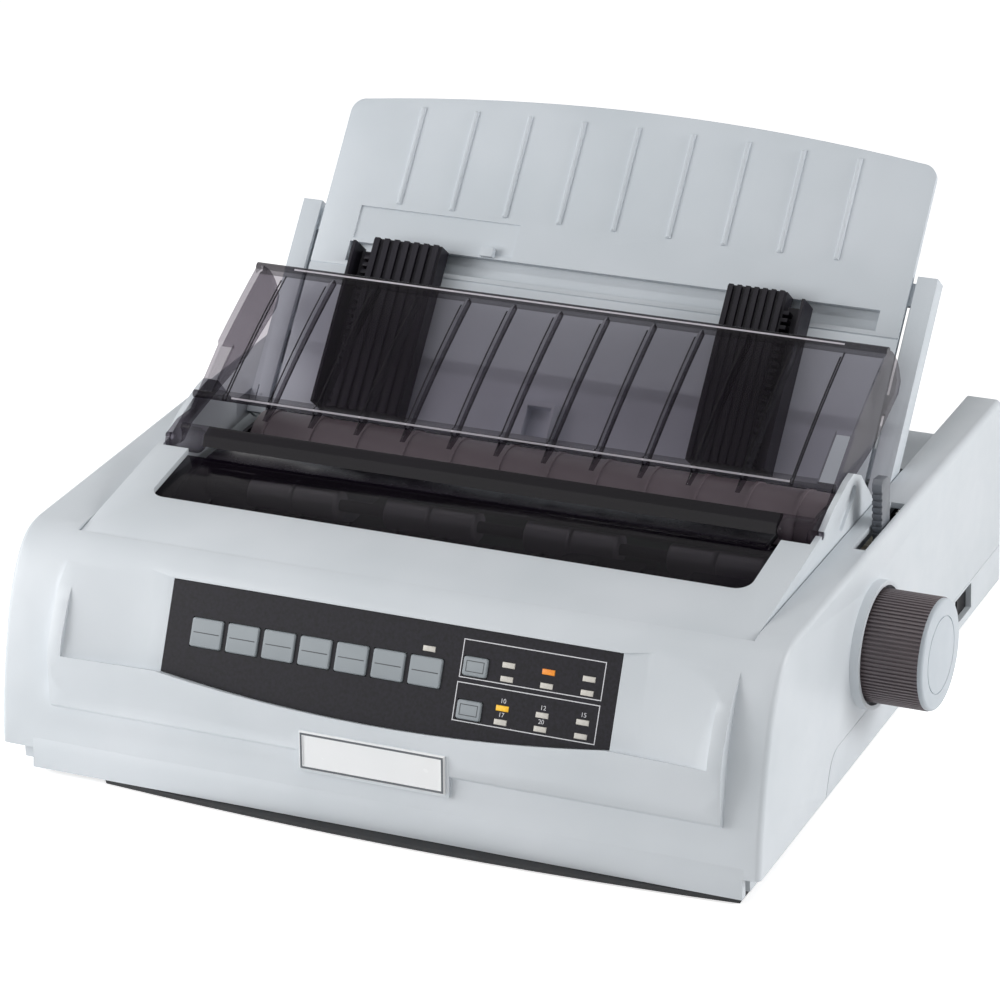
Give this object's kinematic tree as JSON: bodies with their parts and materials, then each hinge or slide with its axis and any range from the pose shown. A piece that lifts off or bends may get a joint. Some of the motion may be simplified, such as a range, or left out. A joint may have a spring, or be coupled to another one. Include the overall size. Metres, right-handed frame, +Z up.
{
  "type": "dot matrix printer",
  "caption": "Desktop dot matrix printer with hinged access cover, smoked rear cover, raised sheet separator, platen knob and tilted operator panel.",
  "frame": {"origin": "bottom centre of the whole printer's bounding box, on the plane the feet stand on", "axes": "+X along the print line to the platen knob, +Y to the rear, +Z up"},
  "size_m": [0.4328, 0.3504, 0.2477],
  "materials": {
    "housing_plastic": "light cool grey moulded ABS, fine spark texture",
    "pan_plastic": "dark grey moulded ABS, matte",
    "foot_rubber": "black moulded rubber",
    "panel_film": "printed dark polycarbonate film, fine texture",
    "key_plastic": "mid grey moulded ABS",
    "lens_plastic": "clear tinted lens",
    "plate_plastic": "white moulded plate with a darker rim",
    "smoked_plastic": "smoked clear styrene, polished",
    "separator_plastic": "light blue-grey moulded ABS",
    "guide_plastic": "dark grey moulded ABS",
    "chute_plastic": "grey-brown moulded ABS",
    "platen_rubber": "ground black rubber",
    "shaft_steel": "ground steel",
    "gear_nylon": "natural acetal",
    "knob_ribs": "grey-brown moulded ABS, ribbed",
    "knob_face": "light grey-blue moulded ABS",
    "frame_steel": "zinc-plated sheet steel",
    "carriage_plastic": "black glass-filled nylon",
    "head_aluminium": "black anodised die-cast aluminium",
    "cartridge_plastic": "black moulded styrene",
    "motor_steel": "black painted steel can",
    "belt_rubber": "moulded timing belt",
    "roller_plastic": "light moulded acetal",
    "bail_steel": "nickel-plated steel",
    "lever_plastic": "grey moulded ABS",
    "board_laminate": "green solder mask on glass epoxy",
    "supply_steel": "zinc-plated sheet steel",
    "switch_plastic": "black moulded nylon",
    "port_metal": "nickel-plated shell",
    "screw_steel": "zinc-plated steel"
  },
  "bodies": {
    "housing": {"upper_housing": "housing_plastic", "lower_housing": "housing_plastic", "base_pan": "pan_plastic", "rubber_feet": "foot_rubber", "operator_panel": "panel_film", "status_lights": "lens_plastic", "name_plate": "plate_plastic", "side_frame_left": "frame_steel", "side_frame_right": "frame_steel", "frame_beam": "frame_steel", "carriage_shaft": "shaft_steel", "carriage_motor": "motor_steel", "feed_motor": "motor_steel", "timing_belt": "belt_rubber", "paper_chute": "chute_plastic", "tractor_rod": "shaft_steel", "main_board": "board_laminate", "power_supply": "supply_steel", "power_switch": "switch_plastic", "power_inlet": "switch_plastic", "interface_ports": "port_metal", "screws": "screw_steel"},
    "cover": {"access_cover": "housing_plastic", "access_window": "smoked_plastic"},
    "smoke": {"smoked_cover": "smoked_plastic"},
    "separator": {"separator_frame": "separator_plastic", "separator_panel": "separator_plastic"},
    "guide_left": {"paper_guide_left": "guide_plastic"},
    "guide_right": {"paper_guide_right": "guide_plastic"},
    "lever": {"paper_lever": "lever_plastic"},
    "platen_assembly": {"platen": "platen_rubber", "platen_shaft": "shaft_steel", "platen_gear": "gear_nylon", "knob_body": "knob_ribs", "knob_cap": "knob_face"},
    "idler": {"idler_gear": "gear_nylon"},
    "tractor_drive": {"tractor_shaft": "shaft_steel"},
    "pinion": {"feed_pinion": "gear_nylon"},
    "carriage_assembly": {"carriage": "carriage_plastic", "print_head": "head_aluminium", "ribbon_cartridge": "cartridge_plastic"},
    "ribbon_take_up": {"ribbon_knob": "lever_plastic"},
    "drive_wheel": {"drive_pulley": "gear_nylon"},
    "idler_wheel": {"idler_pulley": "gear_nylon"},
    "bail": {"bail_frame": "bail_steel"},
    "rollers": {"bail_rollers": "roller_plastic"},
    "tractor_l": {"tractor_left": "carriage_plastic"},
    "tractor_r": {"tractor_right": "carriage_plastic"},
    "door_l": {"tractor_door_left": "lever_plastic"},
    "door_r": {"tractor_door_right": "lever_plastic"},
    "rocker": {"power_rocker": "switch_plastic"},
    "key_1_cap": {"key_1": "key_plastic"},
    "key_2_cap": {"key_2": "key_plastic"},
    "key_3_cap": {"key_3": "key_plastic"},
    "key_4_cap": {"key_4": "key_plastic"},
    "key_5_cap": {"key_5": "key_plastic"},
    "key_6_cap": {"key_6": "key_plastic"},
    "key_7_cap": {"key_7": "key_plastic"},
    "key_quality_cap": {"key_quality": "key_plastic"},
    "key_pitch_cap": {"key_pitch": "key_plastic"}
  },
  "joints": [
    {"name": "cover_hinge", "type": "hinge", "parent": "housing", "child": "cover", "pos_m": [-0.01265, 0.02718, 0.11], "axis": [1, 0, 0], "range_deg": [-50, 0]},
    {"name": "smoke_hinge", "type": "hinge", "parent": "cover", "child": "smoke", "pos_m": [-0.01265, -0.03482, 0.1265], "axis": [1, 0, 0], "range_deg": [0, 84]},
    {"name": "separator_tilt", "type": "hinge", "parent": "housing", "child": "separator", "pos_m": [-0.01265, 0.05818, 0.111], "axis": [1, 0, 0], "range_deg": [-39, 0]},
    {"name": "left_guide_slide", "type": "slide", "parent": "separator", "child": "guide_left", "axis": [1, 0, 0], "range_m": [-0.008, 0.05]},
    {"name": "right_guide_slide", "type": "slide", "parent": "separator", "child": "guide_right", "axis": [1, 0, 0], "range_m": [-0.06, 0.03]},
    {"name": "lever_swing", "type": "hinge", "parent": "housing", "child": "lever", "pos_m": [0.17485, 0.01218, 0.068], "axis": [1, 0, 0], "range_deg": [-12, 22]},
    {"name": "platen_spin", "type": "hinge", "parent": "housing", "child": "platen_assembly", "pos_m": [-0.01265, -0.01932, 0.066], "axis": [1, 0, 0], "continuous": true},
    {"name": "idler_spin", "type": "hinge", "parent": "housing", "child": "idler", "pos_m": [0.16135, 0.03318, 0.06701], "axis": [1, 0, 0], "continuous": true},
    {"name": "tractor_spin", "type": "hinge", "parent": "housing", "child": "tractor_drive", "pos_m": [-0.01265, 0.08418, 0.068], "axis": [1, 0, 0], "continuous": true},
    {"name": "pinion_spin", "type": "hinge", "parent": "housing", "child": "pinion", "pos_m": [0.16135, 0.05122, 0.033], "axis": [1, 0, 0], "continuous": true},
    {"name": "carriage_slide", "type": "slide", "parent": "housing", "child": "carriage_assembly", "axis": [1, 0, 0], "range_m": [-0.206, 0]},
    {"name": "ribbon_spin", "type": "hinge", "parent": "carriage_assembly", "child": "ribbon_take_up", "pos_m": [0.04935, -0.07982, 0.106], "axis": [0, 0, 1], "continuous": true},
    {"name": "drive_pulley_spin", "type": "hinge", "parent": "housing", "child": "drive_wheel", "pos_m": [-0.15965, -0.09382, 0.04], "axis": [0, 0, 1], "range_deg": [0, 1480]},
    {"name": "idler_pulley_spin", "type": "hinge", "parent": "housing", "child": "idler_wheel", "pos_m": [0.13435, -0.09382, 0.04], "axis": [0, 0, 1], "range_deg": [0, 1480]},
    {"name": "bail_swing", "type": "hinge", "parent": "housing", "child": "bail", "pos_m": [-0.01265, 0.00418, 0.09], "axis": [1, 0, 0], "range_deg": [-25, 0]},
    {"name": "rollers_spin", "type": "hinge", "parent": "bail", "child": "rollers", "pos_m": [-0.01265, -0.01462, 0.09259], "axis": [1, 0, 0], "continuous": true},
    {"name": "left_tractor_slide", "type": "slide", "parent": "housing", "child": "tractor_l", "axis": [1, 0, 0], "range_m": [-0.012, 0.05]},
    {"name": "right_tractor_slide", "type": "slide", "parent": "housing", "child": "tractor_r", "axis": [1, 0, 0], "range_m": [-0.05, 0.012]},
    {"name": "left_door_hinge", "type": "hinge", "parent": "tractor_l", "child": "door_l", "pos_m": [-0.14015, 0.09818, 0.0874], "axis": [0, 1, 0], "range_deg": [-110, 0]},
    {"name": "right_door_hinge", "type": "hinge", "parent": "tractor_r", "child": "door_r", "pos_m": [0.11485, 0.09818, 0.0874], "axis": [0, 1, 0], "range_deg": [0, 110]},
    {"name": "rocker_tilt", "type": "hinge", "parent": "housing", "child": "rocker", "pos_m": [0.17415, 0.11468, 0.025], "axis": [0, 0, 1], "range_deg": [-16, 0]},
    {"name": "key_1_press", "type": "slide", "parent": "housing", "child": "key_1_cap", "axis": [0, 0.8962, -0.4436], "range_m": [0, 0.0008], "stiffness_N_per_m": 250, "springref_m": -0.002},
    {"name": "key_2_press", "type": "slide", "parent": "housing", "child": "key_2_cap", "axis": [0, 0.8962, -0.4436], "range_m": [0, 0.0008], "stiffness_N_per_m": 250, "springref_m": -0.002},
    {"name": "key_3_press", "type": "slide", "parent": "housing", "child": "key_3_cap", "axis": [0, 0.8962, -0.4436], "range_m": [0, 0.0008], "stiffness_N_per_m": 250, "springref_m": -0.002},
    {"name": "key_4_press", "type": "slide", "parent": "housing", "child": "key_4_cap", "axis": [0, 0.8962, -0.4436], "range_m": [0, 0.0008], "stiffness_N_per_m": 250, "springref_m": -0.002},
    {"name": "key_5_press", "type": "slide", "parent": "housing", "child": "key_5_cap", "axis": [0, 0.8962, -0.4436], "range_m": [0, 0.0008], "stiffness_N_per_m": 250, "springref_m": -0.002},
    {"name": "key_6_press", "type": "slide", "parent": "housing", "child": "key_6_cap", "axis": [0, 0.8962, -0.4436], "range_m": [0, 0.0008], "stiffness_N_per_m": 250, "springref_m": -0.002},
    {"name": "key_7_press", "type": "slide", "parent": "housing", "child": "key_7_cap", "axis": [0, 0.8962, -0.4436], "range_m": [0, 0.0008], "stiffness_N_per_m": 250, "springref_m": -0.002},
    {"name": "key_quality_press", "type": "slide", "parent": "housing", "child": "key_quality_cap", "axis": [0, 0.8962, -0.4436], "range_m": [0, 0.0008], "stiffness_N_per_m": 250, "springref_m": -0.002},
    {"name": "key_pitch_press", "type": "slide", "parent": "housing", "child": "key_pitch_cap", "axis": [0, 0.8962, -0.4436], "range_m": [0, 0.0008], "stiffness_N_per_m": 250, "springref_m": -0.002}
  ],
  "couplings": [
    {"joint": "smoke_hinge", "follows": "cover_hinge", "ratio": -1.6},
    {"joint": "idler_spin", "follows": "platen_spin", "ratio": -0.61538},
    {"joint": "tractor_spin", "follows": "platen_spin", "ratio": 1.0811},
    {"joint": "pinion_spin", "follows": "platen_spin", "ratio": 3.3333},
    {"joint": "drive_pulley_spin", "follows": "carriage_slide", "rad_per_m": -125},
    {"joint": "idler_pulley_spin", "follows": "carriage_slide", "rad_per_m": -125}
  ]
}
